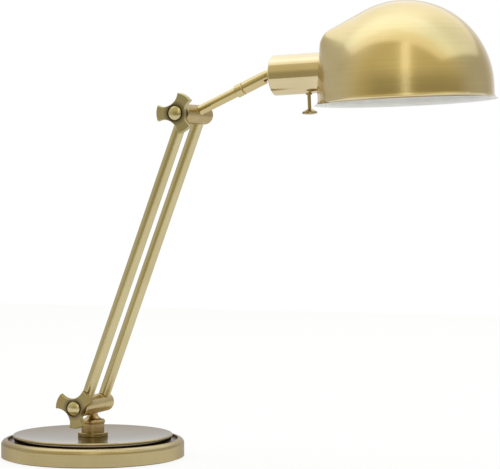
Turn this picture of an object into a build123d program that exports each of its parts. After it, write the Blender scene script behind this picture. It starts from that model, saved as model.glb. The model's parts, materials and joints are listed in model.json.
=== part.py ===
"""Swing arm desk lamp with twin lower rods, tri-lobe clamp knobs and a hooded dome shade.

The origin is the centre of the base on the table, +Z is up and both arm stages
lie in the XZ plane, reaching towards +X.  The clamp knobs face -Y.
"""
import os
from math import acos, asin, atan2, cos, degrees, hypot, radians, sin, sqrt

from build123d import *

os.makedirs("parts", exist_ok=True)

# Fits
running_fit = 0.05
seat_fit = 0.05
face_gap = 0.1

# Base
base_diameter = 190.5
ring_height = 19.0
ring_corner = 5.5
cover_wall = 1.0
ledge_width = 12.05
crest_flat = 1.2
gutter_depth = 2.5
disc_height = 23.6
dish_depth = 2.0
dish_margin = 1.4
bead_radius = 1.3
felt_thickness = 2.0
felt_margin = 2.0
weight_gap = 0.5

# Swivel post
collar_diameter = 31.2
collar_height = 3.8
collar_edge = 0.6
post_diameter = 23.7
post_height = 13.2
post_bead = 0.9
post_bead_height = 4.4
neck_diameter = 9.8
spindle_diameter = 9.5
spindle_bore = 6.0
spindle_engagement = 9.0
nut_across_flats = 15.0
nut_height = 4.6
nut_room = 3.0
washer_thickness = 1.5
washer_diameter = 20.0
nut_floor_gap = 1.4

# Cord inlet at the back of the base
inlet_height = 8.5
inlet_bore = 6.6
bushing_wall = 1.6
bushing_depth = 7.0
bushing_flange = 1.7
bushing_flange_thickness = 1.2
bushing_edge = 0.7
channel_margin = 2.5

# Arm stages, measured from pivot to pivot
pivot_height = 54.3
rod_length = 321.3
rod_lean = 20.67
rod_diameter = 12.0
rod_wall = 1.2
arm_length = 90.1
arm_rise = 24.5
arm_diameter = 10.0
arm_wall = 1.0
tube_seat = 5.2

# Knuckles and clamp knobs
knuckle_diameter = 19.8
knuckle_width = 22.0
knuckle_round = 2.0
knuckle_bevel = 0.6
middle_width = 19.8
bolt_diameter = 6.0
bolt_end_wall = 5.0
spacer_diameter = 14.0
spacer_thickness = 2.3
knob_radius = 20.6
knob_lobe_angle = 46.3
knob_waist_radius = 9.9
knob_thickness = 5.5
knob_edge = 0.7
knob_hub_diameter = 15.0
knob_hub_length = 5.0
knob_well_radius = 8.3
knob_well_depth = 2.4
cap_radius = 6.8
cap_rim = 2.9
cap_dome = 2.0
cap_spigot = 1.2
lower_knob_turn = -21.5
upper_knob_turn = 0.0

# Ferrule, fork sleeve and lead
ferrule_setback = 36.8
ferrule_length = 8.2
ferrule_diameter = 13.0
ferrule_edge = 0.4
groove_width = 0.9
sleeve_diameter = 12.7
sleeve_overlap = 14.0
notch_depth = 3.4
lead_diameter = 5.6
lead_length = 24.0

# Tilt lug between the sleeve and the socket cup
head_rise = 2.5
lug_thickness = 5.0
lug_radius = 3.6
lug_clearance = 0.5
lug_reach = 7.3
lug_flange_diameter = 7.4
lug_flange = 0.6
lug_stud_diameter = 5.6
lug_nut_height = 4.0
lug_nut_across_flats = 10.0
pin_diameter = 3.0
tail_diameter = 2.2
tail_length = 4.6
tail_clearance = 0.2

# Socket cup, lamp holder and switch
cup_diameter = 40.4
cup_length = 55.3
cup_wall = 1.2
cup_back_wall = 1.5
cup_edge = 1.3
holder_diameter = 34.0
holder_edge = 2.0
holder_back_gap = 14.0
holder_reach = 14.5
socket_bore = 26.4
socket_depth = 26.0
ring_diameter = 40.8
ring_thickness = 5.0
ring_facets = 16
switch_setback = 19.3
stem_diameter = 3.5
stem_length = 15.0
stem_depth = 8.0
bush_diameter = 6.4
bush_stand = 1.0
switch_knob_diameter = 15.0
switch_knob_cone = 2.9
switch_knob_rim = 1.9
switch_knob_crown = 1.0
switch_knob_neck = 4.4

# Shade
shade_radius = 86.5
shade_wall = 0.8
shade_skirt = 8.5
lip_radius = 5.0
lip_turn = 76.0
socket_rise = 34.4
seat_stand = 1.1
hood_radius = 19.6
hood_back_inset = 23.4
hood_top_inset = 43.7
hood_half_angle = 24.0
hood_blend = 0.06
lining_gap = 0.05
lining_thickness = 0.3

# Derived sizes
base_radius = base_diameter / 2
disc_radius = base_radius - ledge_width
step_radius = disc_radius - bead_radius
post_radius = post_diameter / 2
neck_radius = neck_diameter / 2
spindle_radius = spindle_diameter / 2
knuckle_radius = knuckle_diameter / 2
bolt_radius = bolt_diameter / 2
rod_radius = rod_diameter / 2
arm_radius = arm_diameter / 2
sleeve_radius = sleeve_diameter / 2
cup_radius = cup_diameter / 2
holder_radius = holder_diameter / 2
stem_radius = stem_diameter / 2
disc_middle = disc_height - dish_depth
dish_start = collar_diameter / 2 + dish_margin
dish_run = step_radius - dish_start
dish_arc = (dish_run**2 + dish_depth**2) / (2 * dish_depth)
crest_radius = base_radius - ring_corner - crest_flat
gutter_floor = ring_height - gutter_depth
collar_top = disc_middle + collar_height
post_bottom = collar_top + face_gap
post_top = post_bottom + post_height
outer_start = middle_width / 2 + face_gap
outer_end = outer_start + knuckle_width
rod_offset = outer_start + knuckle_width / 2
spacer_end = outer_end + spacer_thickness
hub_start = spacer_end + face_gap
knob_back = hub_start + knob_hub_length
knob_front = knob_back + knob_thickness
well_floor = knob_front - knob_well_depth

# Directions and pivots
across = Vector(0, 1, 0)
rod_direction = Vector(sin(radians(rod_lean)), 0, cos(radians(rod_lean)))
arm_direction = Vector(cos(radians(arm_rise)), 0, sin(radians(arm_rise)))
arm_under = Vector(sin(radians(arm_rise)), 0, -cos(radians(arm_rise)))
head_direction = Vector(cos(radians(head_rise)), 0, sin(radians(head_rise)))
head_up = Vector(-sin(radians(head_rise)), 0, cos(radians(head_rise)))
lower_pivot = Vector(0, 0, pivot_height)
upper_pivot = lower_pivot + rod_direction * rod_length
head_pivot = upper_pivot + arm_direction * arm_length
cup_back = head_pivot + head_direction * lug_reach
cup_mouth = cup_back + head_direction * cup_length
hood_reach = shade_radius - hood_back_inset
hood_rise = shade_radius - hood_top_inset
hood_back = hood_reach + hood_radius
seat_distance = sqrt(hood_back**2 - cup_radius**2) + seat_stand
rim_centre = cup_mouth + head_direction * seat_distance - head_up * socket_rise
shade_frame = Plane(origin=rim_centre, x_dir=head_direction, z_dir=head_up)
switch_point = cup_mouth - head_direction * switch_setback


def facing(pivot, depth):
    """Plane square to Y with its normal towards -Y, depth in front of a pivot."""
    return Plane(origin=pivot - across * depth, x_dir=(1, 0, 0), z_dir=(0, -1, 0))


def along(start, direction, distance=0.0):
    """Plane square to a direction, a distance along it, with local x on +Y."""
    return Plane(origin=start + direction * distance, x_dir=across, z_dir=direction)


def save(piece, name):
    """Label a finished piece and write its STEP file."""
    piece.part.label = name
    export_step(piece.part, f"parts/{name}.step")


def dish_level(radius):
    """Height of the disc's top at a radius: flat under the collar, then rising to the rim."""
    return disc_middle + dish_arc - sqrt(dish_arc**2 - (radius - dish_start) ** 2)


# Base cover: one spun shell with a ring wall, a gutter and a shallow dished disc
with BuildPart() as base_cover:
    with BuildSketch(Plane.XZ):
        with BuildLine():
            Polyline(
                (base_radius, ring_height - ring_corner),
                (base_radius, felt_thickness / 2),
                (base_radius - cover_wall, felt_thickness / 2),
                (base_radius - cover_wall, ring_height - ring_corner),
            )
            corner_centre = (base_radius - ring_corner, ring_height - ring_corner)
            under_rim = (step_radius - cover_wall, dish_level(step_radius - cover_wall) - cover_wall)
            under_dish = (dish_start, disc_middle - cover_wall)
            CenterArc(corner_centre, ring_corner - cover_wall, 0, 90)
            Polyline(
                (base_radius - ring_corner, ring_height - cover_wall),
                (crest_radius + cover_wall, ring_height - cover_wall),
                (crest_radius + cover_wall, gutter_floor - cover_wall),
                (step_radius - cover_wall, gutter_floor - cover_wall),
                under_rim,
            )
            TangentArc(under_dish, under_rim, tangent=(1, 0))
            Polyline(
                under_dish,
                (spindle_radius + weight_gap, disc_middle - cover_wall),
                (spindle_radius + weight_gap, disc_middle),
                (dish_start, disc_middle),
            )
            TangentArc((dish_start, disc_middle), (step_radius, disc_height), tangent=(1, 0))
            Polyline(
                (step_radius, disc_height),
                (step_radius, gutter_floor),
                (crest_radius, gutter_floor),
                (crest_radius, ring_height),
                (base_radius - ring_corner, ring_height),
            )
            CenterArc(corner_centre, ring_corner, 0, 90)
        make_face()
        with Locations((step_radius, disc_height - bead_radius)):
            Circle(bead_radius)
    revolve(axis=Axis.Z)
    with BuildSketch(Plane(origin=(-base_radius, 0, inlet_height), z_dir=(-1, 0, 0))):
        Circle(inlet_bore / 2 + bushing_wall + seat_fit)
    extrude(amount=cover_wall * 2, both=True, mode=Mode.SUBTRACT)
save(base_cover, "base_cover")

# Base weight: stepped iron casting with a nut well and a cord channel underneath
weight_radius = base_radius - cover_wall - weight_gap
weight_step = step_radius - cover_wall - weight_gap
weight_ledge = gutter_floor - cover_wall - weight_gap
weight_top = disc_middle - cover_wall - weight_gap
well_radius = washer_diameter / 2 + nut_room
well_top = felt_thickness + nut_floor_gap + nut_height + face_gap + washer_thickness
with BuildPart() as base_weight:
    with BuildSketch(Plane.XY.offset(felt_thickness)):
        Circle(weight_radius)
    extrude(amount=weight_ledge - felt_thickness)
    fillet(base_weight.edges().group_by(Axis.Z)[-1], ring_corner)
    with BuildSketch(Plane.XY.offset(weight_ledge)):
        Circle(weight_step)
    extrude(amount=weight_top - weight_ledge)
    with BuildSketch(Plane.XY.offset(felt_thickness)):
        Circle(spindle_radius + weight_gap)
    extrude(amount=weight_top, mode=Mode.SUBTRACT)
    with BuildSketch(Plane.XY.offset(felt_thickness)):
        Circle(well_radius)
    extrude(amount=well_top - felt_thickness, mode=Mode.SUBTRACT)
    channel_width = inlet_bore + 2 * (bushing_wall + channel_margin)
    channel_top = inlet_height + inlet_bore / 2 + bushing_wall + channel_margin
    with BuildSketch(Plane.XY.offset(felt_thickness)):
        with Locations((-base_radius / 2, 0)):
            Rectangle(base_radius, channel_width)
    extrude(amount=channel_top - felt_thickness, mode=Mode.SUBTRACT)
save(base_weight, "base_weight")

with BuildPart() as felt_pad:
    with BuildSketch():
        Circle(base_radius - cover_wall - felt_margin)
    extrude(amount=felt_thickness)
save(felt_pad, "felt_pad")

# Cord bushing: a flanged grommet through the back of the ring wall
with BuildPart() as cord_bushing:
    flange_face = Plane(origin=(-base_radius - face_gap, 0, inlet_height), z_dir=(-1, 0, 0))
    with BuildSketch(flange_face):
        Circle(inlet_bore / 2 + bushing_wall + bushing_flange)
    extrude(amount=bushing_flange_thickness)
    fillet(cord_bushing.edges().group_by(Axis.X)[0], bushing_edge)
    with BuildSketch(flange_face):
        Circle(inlet_bore / 2 + bushing_wall)
    extrude(amount=-bushing_depth)
    with BuildSketch(flange_face):
        Circle(inlet_bore / 2)
    extrude(amount=bushing_depth, both=True, mode=Mode.SUBTRACT)
save(cord_bushing, "cord_bushing")

with BuildPart() as post_collar:
    with BuildSketch(Plane.XY.offset(disc_middle)):
        Circle(collar_diameter / 2)
        Circle(spindle_radius + running_fit, mode=Mode.SUBTRACT)
    extrude(amount=collar_height)
    fillet(post_collar.edges().filter_by(GeomType.CIRCLE).group_by(SortBy.RADIUS)[-1], collar_edge)
save(post_collar, "post_collar")

with BuildPart() as spindle_washer:
    with BuildSketch(Plane.XY.offset(well_top - washer_thickness)):
        Circle(washer_diameter / 2)
        Circle(spindle_radius + running_fit, mode=Mode.SUBTRACT)
    extrude(amount=washer_thickness)
save(spindle_washer, "spindle_washer")

with BuildPart() as spindle_nut:
    with BuildSketch(Plane.XY.offset(felt_thickness + nut_floor_gap)):
        RegularPolygon(nut_across_flats / 2, 6, major_radius=False)
        Circle(spindle_radius + seat_fit, mode=Mode.SUBTRACT)
    extrude(amount=nut_height)
save(spindle_nut, "spindle_nut")

with BuildPart() as swivel_spindle:
    with BuildSketch(Plane.XY.offset(felt_thickness + nut_floor_gap)):
        Circle(spindle_radius)
        Circle(spindle_bore / 2, mode=Mode.SUBTRACT)
    extrude(amount=post_bottom + spindle_engagement - felt_thickness - nut_floor_gap)
save(swivel_spindle, "swivel_spindle")

# Swivel post: turned body with a bead and a cove, under the middle knuckle
with BuildPart() as swivel_post:
    cove_radius = post_radius - neck_radius
    bead_start = post_top - post_bead_height
    with BuildSketch(Plane.XZ):
        with BuildLine():
            Polyline(
                (0, post_bottom),
                (post_radius, post_bottom),
                (post_radius, bead_start),
            )
            ThreePointArc(
                (post_radius, bead_start),
                (post_radius + post_bead, bead_start + post_bead_height / 2),
                (post_radius, post_top),
            )
            CenterArc((post_radius, post_top + cove_radius), cove_radius, 180, 90)
            Polyline(
                (neck_radius, post_top + cove_radius),
                (neck_radius, pivot_height),
                (0, pivot_height),
                (0, post_bottom),
            )
        make_face()
    revolve(axis=Axis.Z)
    with BuildSketch(facing(lower_pivot, -middle_width / 2)):
        Circle(knuckle_radius)
    extrude(amount=middle_width)
    post_ends = swivel_post.edges().filter_by(GeomType.CIRCLE).group_by(Axis.Y)
    chamfer(post_ends[0] + post_ends[-1], knuckle_bevel)
    with BuildSketch(facing(lower_pivot, -middle_width / 2)):
        Circle(bolt_radius + running_fit)
    extrude(amount=middle_width, mode=Mode.SUBTRACT)
    with BuildSketch(Plane.XY.offset(post_bottom)):
        Circle(spindle_radius + seat_fit)
    extrude(amount=spindle_engagement + face_gap, mode=Mode.SUBTRACT)
save(swivel_post, "swivel_post")


def outer_knuckle(pivot, tube_direction, side, blind):
    """Barrel of a clamp joint that holds a rod end; side is -1 for near, +1 for far."""
    inner_face = Plane(origin=pivot + across * side * outer_start, x_dir=(1, 0, 0), z_dir=(0, side, 0))
    with BuildPart() as knuckle:
        with BuildSketch(inner_face):
            Circle(knuckle_radius)
        extrude(amount=knuckle_width)
        end_edges = knuckle.edges().filter_by(GeomType.CIRCLE).sort_by(Axis.Y)
        inner_edge, outer_edge = end_edges if side > 0 else reversed(end_edges)
        chamfer(inner_edge, knuckle_bevel)
        fillet(outer_edge, knuckle_round)
        with BuildSketch(along(pivot + across * side * rod_offset, tube_direction, tube_seat)):
            Circle(rod_radius + seat_fit)
        extrude(amount=knuckle_diameter, mode=Mode.SUBTRACT)
        with BuildSketch(inner_face):
            Circle(bolt_radius + seat_fit)
        bore_length = knuckle_width - bolt_end_wall if blind else knuckle_width
        extrude(amount=bore_length, mode=Mode.SUBTRACT)
    return knuckle


for joint_name, pivot, tube_direction in (
    ("lower", lower_pivot, rod_direction),
    ("upper", upper_pivot, -rod_direction),
):
    save(outer_knuckle(pivot, tube_direction, -1, blind=False), f"{joint_name}_near_knuckle")
    save(outer_knuckle(pivot, tube_direction, 1, blind=True), f"{joint_name}_far_knuckle")

# Twin rods: hollow tubes between the outer knuckles
for rod_name, side in (("near_rod", -1), ("far_rod", 1)):
    with BuildPart() as rod:
        with BuildSketch(along(lower_pivot + across * side * rod_offset, rod_direction, tube_seat)):
            Circle(rod_radius)
            Circle(rod_radius - rod_wall, mode=Mode.SUBTRACT)
        extrude(amount=rod_length - 2 * tube_seat)
    save(rod, rod_name)


def clamp_bolt(pivot):
    """Stud that is fast in the far knuckle and carries the knob at its near end."""
    far_end = outer_end - bolt_end_wall - face_gap
    near_end = well_floor - cap_spigot - face_gap
    with BuildPart() as bolt:
        with BuildSketch(facing(pivot, -far_end)):
            Circle(bolt_radius)
        extrude(amount=far_end + near_end)
    return bolt


def knob_spacer(pivot):
    """Washer between the near knuckle and the knob's hub."""
    with BuildPart() as spacer:
        with BuildSketch(facing(pivot, outer_end)):
            Circle(spacer_diameter / 2)
            Circle(bolt_radius + seat_fit, mode=Mode.SUBTRACT)
        extrude(amount=spacer_thickness)
    return spacer


def polar(radius, angle):
    """Point of a sketch at a radius and an angle in degrees."""
    return (radius * cos(radians(angle)), radius * sin(radians(angle)))


def dome_middle(radius, height):
    """Point half way along the section of a spherical dome, above the centre of its foot."""
    sphere = (radius**2 + height**2) / (2 * height)
    half_angle = atan2(radius, sphere - height) / 2
    return (sphere * sin(half_angle), sphere * cos(half_angle) - sphere + height)


def clamp_knob(pivot, turn):
    """Tri-lobe knob: convex lobe ends, concave waists, a hub behind and a well in front."""
    half_lobe = knob_lobe_angle / 2
    with BuildPart() as knob:
        with BuildSketch(facing(pivot, knob_back)):
            with BuildLine():
                for lobe in range(3):
                    middle = 180 + turn + lobe * 120
                    ThreePointArc(
                        polar(knob_radius, middle - half_lobe),
                        polar(knob_radius, middle),
                        polar(knob_radius, middle + half_lobe),
                    )
                    ThreePointArc(
                        polar(knob_radius, middle + half_lobe),
                        polar(knob_waist_radius, middle + 60),
                        polar(knob_radius, middle + 120 - half_lobe),
                    )
            make_face()
        extrude(amount=knob_thickness)
        chamfer(knob.faces().sort_by(Axis.Y)[0].edges(), knob_edge)
        with BuildSketch(facing(pivot, hub_start)):
            Circle(knob_hub_diameter / 2)
        extrude(amount=knob_hub_length)
        with BuildSketch(facing(pivot, well_floor)):
            Circle(knob_well_radius)
        extrude(amount=knob_well_depth, mode=Mode.SUBTRACT)
        with BuildSketch(facing(pivot, hub_start)):
            Circle(bolt_radius + running_fit)
        extrude(amount=knob_front - hub_start, mode=Mode.SUBTRACT)
    return knob


def knob_cap(pivot):
    """Domed centre button that stands on the floor of the knob's well."""
    on_dome = dome_middle(cap_radius, cap_dome)
    section = Plane(origin=pivot - across * well_floor, x_dir=(1, 0, 0), z_dir=(0, 0, 1))
    with BuildPart() as cap:
        with BuildSketch(section):
            with BuildLine():
                Polyline(
                    (0, -cap_rim - cap_dome),
                    (0, cap_spigot),
                    (bolt_radius, cap_spigot),
                    (bolt_radius, 0),
                    (cap_radius, 0),
                    (cap_radius, -cap_rim),
                )
                ThreePointArc(
                    (cap_radius, -cap_rim),
                    (on_dome[0], -cap_rim - on_dome[1]),
                    (0, -cap_rim - cap_dome),
                )
            make_face()
        revolve(axis=Axis(pivot, across))
    return cap


for joint_name, pivot, turn in (
    ("lower", lower_pivot, lower_knob_turn),
    ("upper", upper_pivot, upper_knob_turn),
):
    save(clamp_bolt(pivot), f"{joint_name}_bolt")
    save(knob_spacer(pivot), f"{joint_name}_spacer")
    save(clamp_knob(pivot, turn), f"{joint_name}_knob")
    save(knob_cap(pivot), f"{joint_name}_knob_cap")

# Upper arm: middle knuckle, tube, ferrule and fork sleeve
with BuildPart() as arm_knuckle:
    with BuildSketch(facing(upper_pivot, -middle_width / 2)):
        Circle(knuckle_radius)
    extrude(amount=middle_width)
    chamfer(arm_knuckle.edges().filter_by(GeomType.CIRCLE), knuckle_bevel)
    with BuildSketch(facing(upper_pivot, -middle_width / 2)):
        Circle(bolt_radius + running_fit)
    extrude(amount=middle_width, mode=Mode.SUBTRACT)
    with BuildSketch(along(upper_pivot, arm_direction, tube_seat)):
        Circle(arm_radius + seat_fit)
    extrude(amount=knuckle_diameter, mode=Mode.SUBTRACT)
save(arm_knuckle, "arm_knuckle")

ferrule_start = arm_length - ferrule_setback
sleeve_start = ferrule_start + ferrule_length + groove_width
tube_end = sleeve_start + sleeve_overlap
with BuildPart() as arm_tube:
    with BuildSketch(along(upper_pivot, arm_direction, tube_seat)):
        Circle(arm_radius)
        Circle(arm_radius - arm_wall, mode=Mode.SUBTRACT)
    extrude(amount=tube_end - tube_seat)
save(arm_tube, "arm_tube")

with BuildPart() as arm_ferrule:
    with BuildSketch(along(upper_pivot, arm_direction, ferrule_start)):
        Circle(ferrule_diameter / 2)
    extrude(amount=ferrule_length)
    chamfer(arm_ferrule.edges(), ferrule_edge)
    with BuildSketch(along(upper_pivot, arm_direction, ferrule_start)):
        Circle(arm_radius + seat_fit)
    extrude(amount=ferrule_length, mode=Mode.SUBTRACT)
save(arm_ferrule, "arm_ferrule")

slot_half = lug_thickness / 2 + face_gap
slot_back = lug_radius + lug_clearance
with BuildPart() as swivel_sleeve:
    with BuildSketch(along(upper_pivot, arm_direction, sleeve_start)):
        Circle(sleeve_radius)
    extrude(amount=arm_length - sleeve_start)
    with Locations(head_pivot):
        Sphere(sleeve_radius)
    with BuildSketch(along(upper_pivot, arm_direction, sleeve_start)):
        Circle(arm_radius + seat_fit)
    extrude(amount=sleeve_overlap + face_gap, mode=Mode.SUBTRACT)
    with BuildSketch(along(upper_pivot, arm_direction, tube_end)):
        Circle(lead_diameter / 2 + seat_fit)
    extrude(amount=arm_length - tube_end, mode=Mode.SUBTRACT)
    with BuildSketch(along(head_pivot, arm_direction, -slot_back)):
        Rectangle(2 * slot_half, 2 * sleeve_diameter)
    extrude(amount=slot_back + sleeve_diameter, mode=Mode.SUBTRACT)
    notch_face = Plane(
        origin=head_pivot - arm_direction * slot_back + arm_under * sleeve_radius,
        x_dir=across,
        z_dir=arm_direction,
    )
    with BuildSketch(notch_face):
        Rectangle(2 * sleeve_diameter, 2 * notch_depth)
    extrude(amount=slot_back + sleeve_diameter, mode=Mode.SUBTRACT)
    with BuildSketch(facing(head_pivot, -sleeve_diameter)):
        Circle(pin_diameter / 2 + running_fit)
    extrude(amount=2 * sleeve_diameter, mode=Mode.SUBTRACT)
save(swivel_sleeve, "swivel_sleeve")

# Lead: the black wire that shows in the sleeve's notch, ending short of the fork
with BuildPart() as lamp_lead:
    with BuildSketch(along(head_pivot, arm_direction, -slot_back)):
        Circle(lead_diameter / 2)
    extrude(amount=-lead_length)
save(lamp_lead, "lamp_lead")

# Tilt lug: rounded tongue with a flange and a stud through the back of the cup
with BuildPart() as tilt_lug:
    with BuildSketch(Plane(origin=head_pivot, x_dir=head_direction, z_dir=-across)):
        Circle(lug_radius)
        with Locations((lug_reach / 2, 0)):
            Rectangle(lug_reach, 2 * lug_radius)
    extrude(amount=lug_thickness / 2, both=True)
    with BuildSketch(along(cup_back, head_direction, -lug_flange)):
        Circle(lug_flange_diameter / 2)
    extrude(amount=lug_flange)
    with BuildSketch(along(cup_back, head_direction)):
        Circle(lug_stud_diameter / 2)
    extrude(amount=cup_back_wall + lug_nut_height)
    with BuildSketch(facing(head_pivot, -lug_thickness)):
        Circle(pin_diameter / 2 + running_fit)
    extrude(amount=2 * lug_thickness, mode=Mode.SUBTRACT)
save(tilt_lug, "tilt_lug")

# Lead tail: the black end of the lead under the lug, where it goes into the cup
with BuildPart() as lead_tail:
    tail_drop = lug_flange_diameter / 2 + tail_clearance + tail_diameter / 2
    with BuildSketch(along(cup_back - head_up * tail_drop, head_direction)):
        Circle(tail_diameter / 2)
    extrude(amount=-tail_length)
save(lead_tail, "lead_tail")

with BuildPart() as lug_nut:
    with BuildSketch(along(cup_back, head_direction, cup_back_wall)):
        RegularPolygon(lug_nut_across_flats / 2, 6, major_radius=False)
        Circle(lug_stud_diameter / 2 + seat_fit, mode=Mode.SUBTRACT)
    extrude(amount=lug_nut_height)
save(lug_nut, "lug_nut")

with BuildPart() as tilt_pin:
    with BuildSketch(facing(head_pivot, -sleeve_radius)):
        Circle(pin_diameter / 2)
    extrude(amount=sleeve_diameter)
save(tilt_pin, "tilt_pin")

# Socket cup: drawn cap with a rounded back edge, a stud hole and a switch hole
switch_axis = Plane(origin=switch_point, x_dir=across, z_dir=-head_up)
with BuildPart() as socket_cup:
    with BuildSketch(along(cup_back, head_direction)):
        Circle(cup_radius)
    extrude(amount=cup_length)
    fillet(socket_cup.edges().filter_by(GeomType.CIRCLE).sort_by(Axis.X)[0], cup_edge)
    with BuildSketch(along(cup_back, head_direction, cup_back_wall)):
        Circle(cup_radius - cup_wall)
    extrude(amount=cup_length, mode=Mode.SUBTRACT)
    with BuildSketch(along(cup_back, head_direction)):
        Circle(lug_stud_diameter / 2 + seat_fit)
    extrude(amount=cup_back_wall, mode=Mode.SUBTRACT)
    with BuildSketch(switch_axis):
        Circle(bush_diameter / 2 + seat_fit)
    extrude(amount=cup_diameter, mode=Mode.SUBTRACT)
save(socket_cup, "socket_cup")

# Lamp holder: moulded body with the screw socket and the turn switch inside
holder_start = cup_back_wall + holder_back_gap
holder_end = cup_length + holder_reach
with BuildPart() as lamp_holder:
    with BuildSketch(along(cup_back, head_direction, holder_start)):
        Circle(holder_radius)
    extrude(amount=holder_end - holder_start)
    fillet(lamp_holder.edges().sort_by(Axis.X)[0], holder_edge)
    with BuildSketch(along(cup_back, head_direction, holder_end - socket_depth)):
        Circle(socket_bore / 2)
    extrude(amount=socket_depth, mode=Mode.SUBTRACT)
    with BuildSketch(switch_axis.offset(stem_depth)):
        Circle(stem_radius + running_fit)
    extrude(amount=holder_diameter, mode=Mode.SUBTRACT)
save(lamp_holder, "lamp_holder")

with BuildPart() as shade_ring:
    with BuildSketch(along(cup_mouth, head_direction, shade_wall)):
        RegularPolygon(ring_diameter / 2, ring_facets)
        Circle(holder_radius + seat_fit, mode=Mode.SUBTRACT)
    extrude(amount=ring_thickness)
save(shade_ring, "shade_ring")

with BuildPart() as switch_bush:
    with BuildSketch(switch_axis.offset(holder_radius + face_gap)):
        Circle(bush_diameter / 2)
        Circle(stem_radius + running_fit, mode=Mode.SUBTRACT)
    extrude(amount=cup_radius + bush_stand - holder_radius - face_gap)
save(switch_bush, "switch_bush")

# Turn switch: a stem under the cup with a coned knob
knob_start = cup_radius + stem_length
with BuildPart() as switch_stem:
    with BuildSketch(switch_axis.offset(stem_depth + face_gap)):
        Circle(stem_radius)
    extrude(amount=knob_start + switch_knob_cone - stem_depth - face_gap)
save(switch_stem, "switch_stem")

with BuildPart() as switch_knob:
    knob_edge_radius = switch_knob_diameter / 2
    rim_end = switch_knob_cone + switch_knob_rim
    crown_end = rim_end + switch_knob_crown
    crown_middle = dome_middle(knob_edge_radius, switch_knob_crown)
    section = Plane(origin=switch_point - head_up * knob_start, x_dir=across, z_dir=head_direction)
    with BuildSketch(section):
        with BuildLine():
            Polyline(
                (0, -crown_end),
                (0, 0),
                (switch_knob_neck / 2, 0),
                (knob_edge_radius, -switch_knob_cone),
                (knob_edge_radius, -rim_end),
            )
            ThreePointArc(
                (knob_edge_radius, -rim_end),
                (crown_middle[0], -rim_end - crown_middle[1]),
                (0, -crown_end),
            )
        make_face()
    revolve(axis=Axis(switch_point, head_up))
    with BuildSketch(switch_axis.offset(knob_start)):
        Circle(stem_radius + seat_fit)
    extrude(amount=switch_knob_cone + face_gap, mode=Mode.SUBTRACT)
save(switch_knob, "switch_knob")


# The shade is made in a frame of its own, with its rim on the XY plane and its axis on Z,
# and is put in its place on the head when it is finished
dome_height = lip_radius + shade_skirt
dome_centre = Vector(0, 0, dome_height)
seat_centre = Vector(-seat_distance, 0, socket_rise)
forward = Vector(1, 0, 0)


def shade_section(angle):
    """Upright plane through the shade's axis, local x outwards, turned from the back."""
    outward = Vector(-cos(radians(angle)), -sin(radians(angle)), 0)
    return Plane(origin=(0, 0, 0), x_dir=outward, z_dir=outward.cross(Vector(0, 0, 1)))


def shade_form(inset):
    """Solid under one surface of the shade: dome, skirt, flared lip and hood, moved in by inset.

    The hood is the tangent hull of the dome and a smaller round, swept about the
    shade's axis and closed by half a cone at either end.
    """
    radius = shade_radius - inset
    lip_arc = lip_radius + inset
    lip_centre = (shade_radius + lip_radius, lip_radius)
    lip_drop = lip_radius * sin(radians(lip_turn))
    lip_angle = asin(lip_drop / lip_arc)
    lip_edge = (lip_centre[0] - lip_arc * cos(lip_angle), lip_radius - lip_drop)
    tip_radius = hood_radius - inset
    slope_radius = radius - hood_blend
    distance = hypot(hood_reach, hood_rise)
    middle = degrees(atan2(hood_rise, hood_reach))
    spread = degrees(acos((slope_radius - tip_radius) / distance))
    centre = Vector(0, dome_height)
    tip = centre + Vector(*polar(distance, middle))
    roof_dome = centre + Vector(*polar(slope_radius, middle + spread))
    roof_tip = tip + Vector(*polar(tip_radius, middle + spread))
    upper_nose = tip + Vector(*polar(tip_radius, middle + spread / 2))
    nose = tip + Vector(*polar(tip_radius, middle))
    back_tip = tip + Vector(*polar(tip_radius, middle - spread))
    back_dome = centre + Vector(*polar(slope_radius, middle - spread))
    with BuildPart() as form:
        with BuildSketch(shade_section(0)):
            with BuildLine():
                CenterArc((0, dome_height), radius, 0, 90)
                Line((radius, dome_height), (radius, lip_radius))
                CenterArc(lip_centre, lip_arc, 180, degrees(lip_angle))
                Polyline(lip_edge, (0, lip_edge[1]), (0, dome_height + radius))
            make_face()
        revolve(axis=Axis.Z)
        with BuildSketch(shade_section(-hood_half_angle)):
            with BuildLine():
                Polyline(back_tip, back_dome, centre, roof_dome, roof_tip)
                ThreePointArc(roof_tip, nose, back_tip)
            make_face()
        revolve(axis=Axis.Z, revolution_arc=2 * hood_half_angle)
        for side in (-1, 1):
            section = shade_section(side * hood_half_angle)
            with BuildSketch(section):
                with BuildLine():
                    Polyline(nose, centre, roof_dome, roof_tip)
                    ThreePointArc(roof_tip, upper_nose, nose)
                make_face()
            nose_axis = Axis(dome_centre, section.from_local_coords(nose) - dome_centre)
            revolve(axis=nose_axis, revolution_arc=-180 * side)
    return form


# Shade: hooded dome with a round flat seat for the cup pressed into its back
shade_outside = shade_form(0.0)
with BuildPart() as cup_seat:
    with BuildSketch(along(seat_centre, forward, shade_wall)):
        Circle(cup_radius + seat_fit + shade_wall)
    extrude(amount=-shade_radius)
    add(shade_outside.part, mode=Mode.INTERSECT)
with BuildPart() as shade_shell:
    add(shade_outside.part)
    offset(amount=-shade_wall, openings=shade_shell.faces().filter_by(GeomType.PLANE))
    add(cup_seat.part)
    with BuildSketch(along(seat_centre, forward)):
        Circle(cup_radius + seat_fit)
    extrude(amount=-shade_radius, mode=Mode.SUBTRACT)
    with BuildSketch(along(seat_centre, forward)):
        Circle(holder_radius + seat_fit)
    extrude(amount=shade_radius / 2, mode=Mode.SUBTRACT)
with BuildPart() as shade:
    add(shade_frame.location * shade_shell.part)
save(shade, "shade")

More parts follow.
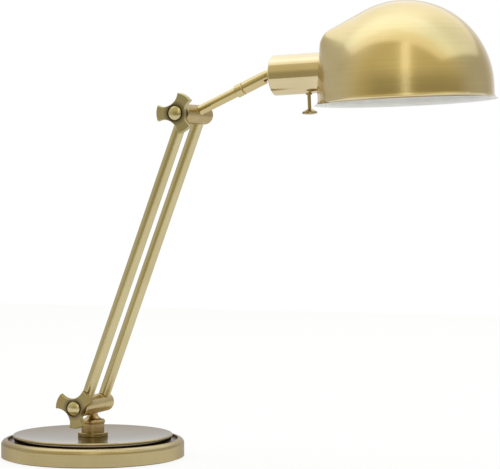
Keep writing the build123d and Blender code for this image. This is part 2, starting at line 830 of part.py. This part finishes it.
# Lining: white enamel skin over the whole inside of the shade
lining_outside = shade_form(shade_wall + lining_gap)
with BuildPart() as lining_shell:
    add(lining_outside.part)
    offset(amount=-lining_thickness, openings=lining_shell.faces().filter_by(GeomType.PLANE))
    with BuildSketch(along(seat_centre, forward)):
        Circle(cup_radius + seat_fit + shade_wall + lining_gap)
    extrude(amount=shade_radius / 2, both=True, mode=Mode.SUBTRACT)
with BuildPart() as shade_lining:
    add(shade_frame.location * lining_shell.part)
save(shade_lining, "shade_lining")

print("upper pivot", upper_pivot, "head pivot", head_pivot)
print("cup mouth", cup_mouth, "rim centre", rim_centre)
print("switch point", switch_point)
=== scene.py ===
# %% [markdown]
# # A brass desk lamp with a hooded shade
# The solid parts of this lamp come from its CAD model.  This lesson gives them the
# look of the real thing: brushed and lacquered antique brass, a white enamel inside,
# a felt foot, and a plain studio around it all.

# %% Load the solid parts
import json
from math import cos, radians, sin

import bpy
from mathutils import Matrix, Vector

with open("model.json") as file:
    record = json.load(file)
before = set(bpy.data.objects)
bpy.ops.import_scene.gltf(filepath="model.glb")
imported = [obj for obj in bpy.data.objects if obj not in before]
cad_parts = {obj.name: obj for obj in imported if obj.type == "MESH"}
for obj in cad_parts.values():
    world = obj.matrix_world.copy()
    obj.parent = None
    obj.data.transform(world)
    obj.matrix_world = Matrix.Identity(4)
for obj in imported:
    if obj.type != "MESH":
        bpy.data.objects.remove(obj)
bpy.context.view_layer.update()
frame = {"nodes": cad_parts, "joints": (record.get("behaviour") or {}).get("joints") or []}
nodes = frame["nodes"]
bpy.ops.object.select_all(action="DESELECT")

# %% [markdown]
# ## The directions of the lamp
# Every brass finish on this lamp follows the way its part was worked.  A part that was
# spun or turned on a lathe has fine rings round its axis, so each finish has to know
# where that axis is.  The pivots could be typed in.  The solid parts come with their
# joints, which give the same places, in metres, and stay right if the model changes.

# %% Pivots and directions
pivots = {joint["name"]: Vector(joint["pos_m"]) for joint in frame["joints"]}
lower_pivot = pivots["lower_tilt"]
upper_pivot = pivots["upper_tilt"]
head_pivot = pivots["head_tilt"]
base_centre = Vector((0.0, 0.0, 0.0))
rim_centre = Vector((0.340660, 0.0, 0.364191))
up = Vector((0.0, 0.0, 1.0))
across = Vector((0.0, 1.0, 0.0))
rod_direction = (upper_pivot - lower_pivot).normalized()
arm_direction = (head_pivot - upper_pivot).normalized()
head_rise = radians(2.5)
head_direction = Vector((cos(head_rise), 0.0, sin(head_rise)))
head_up = Vector((-sin(head_rise), 0.0, cos(head_rise)))
print("rod leans towards", rod_direction, "arm towards", arm_direction)

# %% [markdown]
# ## Small steps for building a finish
# A finish in Blender is a tree of nodes.  The same few steps come back in every one of
# them: feed a value into a socket, do a sum on a vector, stretch a value over a range,
# and mix two colours or numbers.  They could be written out each time.  With a helper
# for each step, a finish reads like a recipe.

# %% Helpers that feed a socket and do a sum
def feed(tree, value, socket):
    """Link a node's output to a socket, or set the socket where the value is fixed."""
    if isinstance(value, bpy.types.NodeSocket):
        tree.links.new(value, socket)
    elif isinstance(value, tuple):
        socket.default_value = (*value, 1.0)
    else:
        socket.default_value = value


def vector_step(tree, operation, vector, fixed=None):
    """A sum on a vector, with a fixed second vector where the operation takes one."""
    step = tree.nodes.new("ShaderNodeVectorMath")
    step.operation = operation
    tree.links.new(vector, step.inputs[0])
    if fixed is not None:
        step.inputs[1].default_value = fixed
    gives_number = operation in ("DOT_PRODUCT", "LENGTH")
    return step.outputs["Value" if gives_number else "Vector"]


print("helpers ready: feed, vector_step")


# %% Helpers that stretch a value and mix two
# A noise stays near one half, so the usual span of a value is 0.3 to 0.7.
def spread(tree, value, begin, end, first=0.3, last=0.7):
    """Go smoothly from begin to end while a value goes from first to last."""
    mapping = tree.nodes.new("ShaderNodeMapRange")
    mapping.interpolation_type = "SMOOTHSTEP"
    mapping.inputs["From Min"].default_value = first
    mapping.inputs["From Max"].default_value = last
    mapping.inputs["To Min"].default_value = begin
    mapping.inputs["To Max"].default_value = end
    tree.links.new(value, mapping.inputs["Value"])
    return mapping.outputs["Result"]


def mixed(tree, factor, first, second, kind):
    """A mix of two colours (kind RGBA) or numbers (kind VALUE); each is fixed or an output."""
    mix = tree.nodes.new("ShaderNodeMix")
    mix.data_type = "RGBA" if kind == "RGBA" else "FLOAT"
    feed(tree, factor, mix.inputs["Factor"])
    for name, part in (("A", first), ("B", second)):
        socket = next(i for i in mix.inputs if i.name == name and i.type == kind)
        feed(tree, part, socket)
    return next(o for o in mix.outputs if o.type == kind)


print("helpers ready: spread, mixed")


# %% Helpers for a noise, a bump and an empty material
def noise(tree, vector, scale, detail):
    """A noise texture on a vector, with its size and its detail."""
    texture = tree.nodes.new("ShaderNodeTexNoise")
    texture.inputs["Scale"].default_value = scale
    texture.inputs["Detail"].default_value = detail
    tree.links.new(vector, texture.inputs["Vector"])
    return texture.outputs["Fac"]


def raise_surface(tree, pattern, strength, distance):
    """Let a pattern raise the surface a little."""
    bump = tree.nodes.new("ShaderNodeBump")
    bump.inputs["Strength"].default_value = strength
    bump.inputs["Distance"].default_value = distance
    tree.links.new(pattern, bump.inputs["Height"])
    tree.links.new(bump.outputs["Normal"], tree.nodes["Principled BSDF"].inputs["Normal"])


def new_material(name):
    """A material with nodes, together with its tree and its shader's sockets."""
    material = bpy.data.materials.new(name)
    material.use_nodes = True
    tree = material.node_tree
    return material, tree, tree.nodes["Principled BSDF"].inputs


print("helpers ready: noise, raise_surface, new_material")

# %% [markdown]
# ## Brass, the way it was worked
# A metal shader needs few parts: a colour, a roughness, and small unevenness in both.
# The unevenness carries the story.  A part that was spun or turned has rings round its
# axis, and a part that was drawn has lines along it.  A painted texture could show them
# too, but a noise that follows the axis has no seams and works on any part.

# %% A helper that measures from an axis
def measures_from(tree, point, direction):
    """The distance along an axis, the distance out from it, and the offset square to it."""
    place = tree.nodes.new("ShaderNodeTexCoord").outputs["Object"]
    away = vector_step(tree, "SUBTRACT", place, point)
    along = vector_step(tree, "DOT_PRODUCT", away, direction)
    square = vector_step(tree, "CROSS_PRODUCT", away, direction)
    out = vector_step(tree, "LENGTH", square)
    return along, out, square


print("helper ready: measures_from")

# %% The tones of the brass, each from its dark to its pale
gold_brass = ((0.58, 0.455, 0.20), (0.66, 0.535, 0.26))
bright_brass = ((0.54, 0.435, 0.20), (0.62, 0.51, 0.265))
pale_brass = ((0.61, 0.50, 0.28), (0.70, 0.59, 0.36))
green_brass = ((0.53, 0.455, 0.235), (0.61, 0.53, 0.30))
warm_brass = ((0.49, 0.39, 0.20), (0.57, 0.465, 0.26))
mellow_brass = ((0.42, 0.335, 0.165), (0.50, 0.405, 0.215))
dull_brass = ((0.335, 0.265, 0.115), (0.41, 0.335, 0.155))
olive_brass = ((0.48, 0.43, 0.25), (0.57, 0.52, 0.33))
aged_brass = ((0.36, 0.28, 0.125), (0.44, 0.35, 0.17))
# The metal's edge tint is kept low, so what the brass mirrors near its outline comes out
# dimmer: painted shade along the edges.
grazing_shade_tone = (0.68, 0.60, 0.48)
print("tones go from", dull_brass[0], "to", pale_brass[1])

# %% The brass itself
line_scale = 700.0
patch_scale = 16.0
brass_detail = 3.0
patch_share = 0.7
duller = 1.08
brighter = 0.92
lacquer_roughness = 0.12
line_strength = 0.008
line_height = 0.0002


def worked_brass(name, point, direction, roughness, tones, drawn=False, streak=0.0,
                 lacquer=0.3, edge_tone=grazing_shade_tone):
    """Lacquered antique brass, with rings round an axis or with lines along it."""
    material, tree, sockets = new_material(name)
    along, out, square = measures_from(tree, point, direction)
    course = square
    if not drawn:
        rings = tree.nodes.new("ShaderNodeCombineXYZ")
        tree.links.new(along, rings.inputs["X"])
        tree.links.new(out, rings.inputs["Y"])
        course = rings.outputs["Vector"]
    place = tree.nodes.new("ShaderNodeTexCoord").outputs["Object"]
    lines = noise(tree, course, line_scale, brass_detail)
    patches = noise(tree, place, patch_scale, brass_detail)
    tone = spread(tree, mixed(tree, patch_share, lines, patches, "VALUE"), 0.0, 1.0)
    tree.links.new(mixed(tree, tone, *tones, "RGBA"), sockets["Base Color"])
    gloss = spread(tree, lines, roughness * brighter, roughness * duller)
    tree.links.new(gloss, sockets["Roughness"])
    sockets["Metallic"].default_value = 1.0
    sockets["Specular Tint"].default_value = (*edge_tone, 1.0)
    sockets["Anisotropic"].default_value = streak
    sockets["Coat Weight"].default_value = lacquer
    sockets["Coat Roughness"].default_value = lacquer_roughness
    raise_surface(tree, lines, line_strength, line_height)
    return material


print("brass lines about", round(1.0 / line_scale, 4), "metres apart")

# %% Brass for the shade, the cup, the post and the tubes
shade_brass = worked_brass(
    "shade_spun_brass", rim_centre, head_up, roughness=0.22, tones=gold_brass,
    streak=0.5, lacquer=0.85)
cup_brass = worked_brass(
    "cup_drawn_brass", head_pivot, head_direction, roughness=0.12, tones=pale_brass,
    drawn=True, lacquer=1.0)
switch_brass = worked_brass(
    "switch_turned_brass", head_pivot, head_up, roughness=0.15, tones=mellow_brass)
post_brass = worked_brass(
    "post_turned_brass", base_centre, up, roughness=0.3, tones=warm_brass)
collar_brass = worked_brass(
    "collar_turned_brass", base_centre, up, roughness=0.3, tones=aged_brass)
rod_brass = worked_brass(
    "rod_drawn_brass", lower_pivot, rod_direction, roughness=0.25, tones=green_brass,
    drawn=True)
arm_brass = worked_brass(
    "arm_drawn_brass", upper_pivot, arm_direction, roughness=0.2, tones=bright_brass,
    drawn=True)
print("brass finishes so far:", [m.name for m in bpy.data.materials if "brass" in m.name])

# %% Brass for the joints and their knobs
lower_joint_brass = worked_brass(
    "lower_joint_brass", lower_pivot, across, roughness=0.25, tones=warm_brass, lacquer=0.2)
upper_joint_brass = worked_brass(
    "upper_joint_brass", upper_pivot, across, roughness=0.25, tones=mellow_brass, lacquer=0.2)
lower_knob_brass = worked_brass(
    "lower_knob_brass", lower_pivot, across, roughness=0.3, tones=dull_brass, lacquer=0.1)
upper_knob_brass = worked_brass(
    "upper_knob_brass", upper_pivot, across, roughness=0.3, tones=olive_brass, lacquer=0.1)
button_brass = worked_brass(
    "button_turned_brass", lower_pivot, across, roughness=0.2, tones=green_brass)
print("brass finishes:", [m.name for m in bpy.data.materials if "brass" in m.name])

# %% [markdown]
# ## Where the brass is painted darker as shade
# Antique brass is darkened all over and then rubbed bright again, which leaves some patina
# in hollows.  Dark colour is laid over the brass in three places.  Round a knob's button it
# is partly that patina in the hollow and partly painted shade in the well.  On the post below
# its knuckle it is painted shade under the knuckle, and along the lip of the shade it is
# painted shade that dims the bright box the lip mirrors.  A mask could be painted for each
# part.  A distance, in metres, needs no painting and stays sharp, so each mask here comes from
# one.

# %% A helper for painted shade
def lay_painted_shade(material, mask, colour):
    """Lay a dark colour, as painted shade, over a finish where a mask is one."""
    tree = material.node_tree
    base_colour = tree.nodes["Principled BSDF"].inputs["Base Color"]
    unshaded_colour = base_colour.links[0].from_socket
    tree.links.new(mixed(tree, mask, unshaded_colour, colour, "RGBA"), base_colour)


print("helper ready: lay_painted_shade")

# %% The parts painted with shade
knob_patina_and_shade = (0.12, 0.09, 0.05)
post_painted_shade = (0.47, 0.34, 0.165)
lip_painted_shade = (0.36, 0.30, 0.19)
# Each knob gets a dark ring round its button: partly real patina in the hollow, partly painted
# shade in the well.
for material, pivot in ((lower_knob_brass, lower_pivot), (upper_knob_brass, upper_pivot)):
    tree = material.node_tree
    distance_out = measures_from(tree, pivot, across)[1]
    near_button = spread(tree, distance_out, 0.9, 0.0, first=0.0072, last=0.0135)
    lay_painted_shade(material, near_button, knob_patina_and_shade)
# The post below its knuckle is painted darker: painted shade under the knuckle.
tree = post_brass.node_tree
distance_out = measures_from(tree, lower_pivot, across)[1]
below_knuckle = spread(tree, distance_out, 0.0, 0.85, first=0.0100, last=0.0118)
lay_painted_shade(post_brass, below_knuckle, post_painted_shade)
# A darker band along the shade's lip dims the bright box it mirrors: painted shade.
tree = shade_brass.node_tree
rise = measures_from(tree, rim_centre, head_up)[0]
along_lip = spread(tree, rise, 0.8, 0.0, first=0.0015, last=0.0040)
lay_painted_shade(shade_brass, along_lip, lip_painted_shade)
painted_shade_parts = (lower_knob_brass, upper_knob_brass, post_brass, shade_brass)
print("dark skin:", [material.name for material in painted_shade_parts])

# %% [markdown]
# ## The base has three finishes in one
# The base cover is one piece, but it was not finished in one way.  Its ring is brushed,
# its disc is polished until it mirrors the post, and the gutter between the two is painted
# dark as the shade that falls in it.  Three materials could share the piece, each on its own
# faces.  One material leaves the mesh alone: a point's height and distance out tell it what to
# show.

# %% Helpers for a mask
def arithmetic(tree, operation, first, second):
    """A sum of two numbers; each is fixed or the output of a node."""
    step = tree.nodes.new("ShaderNodeMath")
    step.operation = operation
    feed(tree, first, step.inputs[0])
    feed(tree, second, step.inputs[1])
    return step.outputs["Value"]


def inside(tree, value, low, high):
    """One where a value lies between two bounds, zero elsewhere."""
    compare = tree.nodes.new("ShaderNodeMath")
    compare.operation = "COMPARE"
    compare.inputs[1].default_value = (low + high) / 2
    compare.inputs[2].default_value = (high - low) / 2
    tree.links.new(value, compare.inputs[0])
    return compare.outputs["Value"]


print("helpers ready: arithmetic, inside")

# %% The base's brass
gutter_inner = 0.0810
gutter_outer = 0.0887
gutter_top = 0.0213
gutter_painted_shade = (0.265, 0.215, 0.155)
disc_radius = 0.0828
polished = 0.07
# The base's edge tint is lower and grey, so the disc mirrors the room more dimly: painted
# shade in its reflections.
base_brass = worked_brass(
    "base_spun_brass", base_centre, up, roughness=0.27, tones=mellow_brass, streak=0.4,
    lacquer=0.1, edge_tone=(0.55, 0.54, 0.56))
tree = base_brass.node_tree
roughness_socket = tree.nodes["Principled BSDF"].inputs["Roughness"]
brushed = roughness_socket.links[0].from_socket
height, distance_out = measures_from(tree, base_centre, up)[:2]
gutter_ring = inside(tree, distance_out, gutter_inner, gutter_outer)
gutter_floor = inside(tree, height, 0.0, gutter_top)
in_gutter = arithmetic(tree, "MULTIPLY", gutter_ring, gutter_floor)
# The gutter under the disc's lip is painted dark: painted shade in the recess.
lay_painted_shade(base_brass, in_gutter, gutter_painted_shade)
on_disc = inside(tree, distance_out, 0.0, disc_radius)
tree.links.new(mixed(tree, on_disc, brushed, polished, "VALUE"), roughness_socket)
print("base finish:", base_brass.name, "with a polished disc and a dark gutter")

# %% [markdown]
# ## Enamel, rubber, iron and felt
# The quieter materials still need some grain, or they read as plain colour swatches.
# Pictures of each material could give it.  A noise needs no picture and has no seams,
# so one helper gives each a noise in its colour, its roughness and its surface.

# %% A helper for plain grained materials
grain_detail = 5.0
grain_height = 0.0005
dark_end = 0.35
pale_end = 0.65
grain_brighter = 0.9
grain_duller = 1.1


def grained(name, dark, pale, roughness, scale, bump, metallic=0.0):
    """A material with one even grain in its colour, its roughness and its height."""
    material, tree, sockets = new_material(name)
    place = tree.nodes.new("ShaderNodeTexCoord").outputs["Object"]
    grain = noise(tree, place, scale, grain_detail)
    colours = tree.nodes.new("ShaderNodeValToRGB")
    ends = colours.color_ramp.elements
    ends[0].position = dark_end
    ends[0].color = (*dark, 1.0)
    ends[1].position = pale_end
    ends[1].color = (*pale, 1.0)
    tree.links.new(grain, colours.inputs["Fac"])
    tree.links.new(colours.outputs["Color"], sockets["Base Color"])
    gloss = spread(tree, grain, roughness * grain_brighter, roughness * grain_duller)
    tree.links.new(gloss, sockets["Roughness"])
    sockets["Metallic"].default_value = metallic
    raise_surface(tree, grain, bump, grain_height)
    return material


print("helper ready: grained")

# %% The plain materials
enamel = grained(
    "white_enamel", (0.75, 0.755, 0.775), (0.80, 0.805, 0.825),
    roughness=0.45, scale=60.0, bump=0.05)
rubber = grained(
    "black_rubber", (0.012, 0.012, 0.012), (0.03, 0.03, 0.03),
    roughness=0.8, scale=400.0, bump=0.2)
moulding = grained(
    "brown_moulding", (0.05, 0.04, 0.035), (0.09, 0.075, 0.065),
    roughness=0.4, scale=250.0, bump=0.1)
iron = grained(
    "cast_iron", (0.05, 0.05, 0.05), (0.11, 0.11, 0.11),
    roughness=0.7, scale=300.0, bump=0.5)
felt = grained(
    "green_felt", (0.02, 0.035, 0.025), (0.05, 0.075, 0.055),
    roughness=0.95, scale=900.0, bump=0.9)
steel = grained(
    "zinc_steel", (0.45, 0.45, 0.46), (0.58, 0.58, 0.6),
    roughness=0.35, scale=500.0, bump=0.1, metallic=1.0)
rubber_gloss = 0.15
rubber_sockets = rubber.node_tree.nodes["Principled BSDF"].inputs
rubber_sockets["Specular IOR Level"].default_value = rubber_gloss
plain = (enamel, rubber, moulding, iron, felt, steel)
print("other finishes:", [material.name for material in plain])

# %% [markdown]
# ## Put the finishes on the parts
# A part's finish goes into its object's material slot, and the shapes stay as they are.
# Each part could be dressed on its own line.  A list of parts for each finish is shorter,
# and it shows at a glance which parts came from the same bench.

# %% Assign the finishes
finishes = {
    shade_brass: ["shade"],
    cup_brass: ["socket_cup"],
    switch_brass: ["switch_bush", "switch_stem", "switch_knob"],
    base_brass: ["base_cover"],
    collar_brass: ["post_collar"],
    post_brass: ["swivel_post"],
    rod_brass: ["near_rod", "far_rod"],
    arm_brass: ["arm_tube", "arm_ferrule", "swivel_sleeve", "tilt_lug", "tilt_pin"],
    lower_joint_brass: ["lower_near_knuckle", "lower_far_knuckle", "lower_spacer"],
    upper_joint_brass: [
        "upper_near_knuckle", "upper_far_knuckle", "upper_spacer", "arm_knuckle"],
    lower_knob_brass: ["lower_knob"],
    upper_knob_brass: ["upper_knob"],
    button_brass: ["lower_knob_cap", "upper_knob_cap"],
    enamel: ["shade_lining"],
    rubber: ["lamp_lead", "lead_tail", "cord_bushing"],
    moulding: ["lamp_holder", "shade_ring"],
    iron: ["base_weight"],
    felt: ["felt_pad"],
    steel: [
        "lower_bolt", "upper_bolt", "swivel_spindle", "spindle_nut", "spindle_washer",
        "lug_nut"],
}
dressed = set()
for material, names in finishes.items():
    for name in names:
        for part_slot in nodes[name].material_slots:
            part_slot.material = material
        dressed.add(name)
print("dressed:", len(dressed), "bare:", sorted(set(nodes) - dressed))

# %% [markdown]
# ## The studio table
# Metal shows its surroundings, so the room matters more than the lamps in it.  The
# lamp stands on a wide table of white paper.  Paper that is lit only by lamps comes out
# grey, and more light would burn out the brass.  So most of what the eye sees of the
# paper is a glow of its own, and the rest of it carries the soft shadow of the lamp.

# %% The table
table_length = 5.0
table_depth = 3.2
table_place = (0.2, 0.65, 0.0)
bpy.ops.mesh.primitive_plane_add(size=1.0)
table = bpy.context.active_object
table.name = "studio_table"
bpy.ops.transform.resize(value=(table_length, table_depth, 1.0))
bpy.ops.transform.translate(value=table_place)
bpy.ops.object.transform_apply(location=True, rotation=True, scale=True)
print("table:", [tuple(round(c, 2) for c in v.co) for v in table.data.vertices])

# %% The table's finish
def shows_background(tree):
    """One where the eye or a reflection looks straight at a surface, zero for other light."""
    path = tree.nodes.new("ShaderNodeLightPath").outputs
    eye_or_gloss = arithmetic(tree, "MAXIMUM", path["Is Camera Ray"], path["Is Glossy Ray"])
    return arithmetic(tree, "MAXIMUM", eye_or_gloss, path["Is Transmission Ray"])


glow_share = 0.84
paper = grained(
    "table_paper", (0.93, 0.93, 0.93), (0.95, 0.95, 0.95),
    roughness=0.9, scale=30.0, bump=0.02)
tree = paper.node_tree
glow = tree.nodes.new("ShaderNodeEmission")
glow.inputs["Strength"].default_value = 1.0
whiten = tree.nodes.new("ShaderNodeMixShader")
share = arithmetic(tree, "MULTIPLY", shows_background(tree), glow_share)
tree.links.new(share, whiten.inputs["Fac"])
tree.links.new(tree.nodes["Principled BSDF"].outputs["BSDF"], whiten.inputs[1])
tree.links.new(glow.outputs["Emission"], whiten.inputs[2])
tree.links.new(whiten.outputs["Shader"], tree.nodes["Material Output"].inputs["Surface"])
table.data.materials.append(paper)
print("table finish:", paper.name)

# %% [markdown]
# ## The room
# The eye sees plain white behind the lamp.  The brass sees a room: white at the back,
# quieter to the right and at the far left, and dim and warm in front, where the viewer
# stands.  The dim front gives the tubes their soft dark side.  A picture of a real room
# could be wrapped round the scene.  A few smooth steps are easier to set: X is the way to
# the right, Z is the way up, and the light that falls on dull things has one even level.

# %% The room
front_direction = (0.34, -0.94, 0.0)
right_side = 0.6
left_side = 0.66
low_left = 0.58
low_right = 0.42
high_front = 0.75
fill = 0.75
white = (1.0, 1.0, 1.0)
warm_front = (1.0, 0.9, 0.58)
world = bpy.data.worlds.new("studio_room")
bpy.context.scene.world = world
world.use_nodes = True
room = world.node_tree
look = room.nodes.new("ShaderNodeTexCoord").outputs["Generated"]
split = room.nodes.new("ShaderNodeSeparateXYZ")
room.links.new(look, split.inputs["Vector"])
to_right = split.outputs["X"]
to_front = vector_step(room, "DOT_PRODUCT", look, front_direction)
in_front = spread(room, to_front, 0.0, 1.0, first=-0.15, last=0.55)
upward = spread(room, split.outputs["Z"], 0.0, 1.0, first=0.05, last=0.5)
right_level = spread(room, to_right, 1.0, right_side, first=0.0, last=0.55)
left_level = spread(room, to_right, left_side, 1.0, first=-0.97, last=-0.6)
low_level = spread(room, to_right, low_left, low_right, first=-0.7, last=-0.3)
behind_level = arithmetic(room, "MULTIPLY", right_level, left_level)
front_level = mixed(room, upward, low_level, high_front, "VALUE")
mirrored = mixed(room, in_front, behind_level, front_level, "VALUE")
level = mixed(room, shows_background(room), fill, mirrored, "VALUE")
print("room:", world.name)

# %% The room's level and colour
straight_look = room.nodes.new("ShaderNodeLightPath").outputs["Is Camera Ray"]
tint = mixed(room, in_front, white, warm_front, "RGBA")
background = room.nodes["Background"].inputs
room.links.new(mixed(room, straight_look, level, 1.0, "VALUE"), background["Strength"])
room.links.new(mixed(room, straight_look, tint, white, "RGBA"), background["Color"])
print("background:", [socket.name for socket in background if socket.is_linked])

# %% [markdown]
# ## The soft lights
# Three long boxes hang above the table and make the broad bright bands on the shade.
# Two of them are a little blue, because brass takes the blue out of what it mirrors and
# the bands should stay pale.  A tall strip, in front and to the right, lights the near
# side of the dome.  Point lamps would be simpler, but brass shows them as hard dots.

# %% The soft lights
def soft_light(name, place, target, width, height, power, colour):
    """A rectangular soft box at a place, turned towards a target."""
    light = bpy.data.lights.new(name, "AREA")
    light.color = colour
    light.shape = "RECTANGLE"
    light.size = width
    light.size_y = height
    light.energy = power
    lamp = bpy.data.objects.new(name, light)
    bpy.context.scene.collection.objects.link(lamp)
    lamp.location = place
    lamp.rotation_euler = (Vector(target) - Vector(place)).to_track_quat("-Z", "Y").to_euler()


ceiling = 1.7
box_middle = 0.4
box_length = 4.1
boxes_above = (
    ("front_box", -0.575, 0.45, 2.95, white),
    ("top_box", -0.025, 0.65, 7.3, (0.70, 0.84, 1.0)),
    ("back_box", 1.45, 2.3, 18.8, (0.8, 0.9, 1.0)),
)
for name, back, depth, power, colour in boxes_above:
    place = (box_middle, back, ceiling)
    below = (box_middle, back, 0.0)
    soft_light(name, place, below, box_length, depth, power, colour)
soft_light(
    "front_strip", (1.07, -2.35, ceiling), (0.3, 0.0, 0.3),
    width=0.5, height=3.2, power=4.4, colour=white)

# %% [markdown]
# ## The camera
# The view is that of a long lens, about two metres away and just above the middle of
# the lamp.  A camera could be placed by eye.  Here its place and its lens were found by
# matching the lamp's edges, so that the solid parts and the view fit each other.

# %% The camera
eye = Vector((0.95451, -1.95773, 0.29365))
aim = Vector((0.15224, 0.06051, 0.23123))
image_width = 500.0
focal_pixels = 2088.96
sensor_width = 36.0
lens = bpy.data.cameras.new("photo_camera")
lens.sensor_width = sensor_width
lens.lens = focal_pixels / image_width * sensor_width
camera = bpy.data.objects.new("photo_camera", lens)
bpy.context.scene.collection.objects.link(camera)
camera.location = eye
camera.rotation_euler = (aim - eye).to_track_quat("-Z", "Y").to_euler()
bpy.context.scene.camera = camera
bpy.context.scene.view_settings.view_transform = "Standard"
print("lens:", round(lens.lens, 1), "mm")
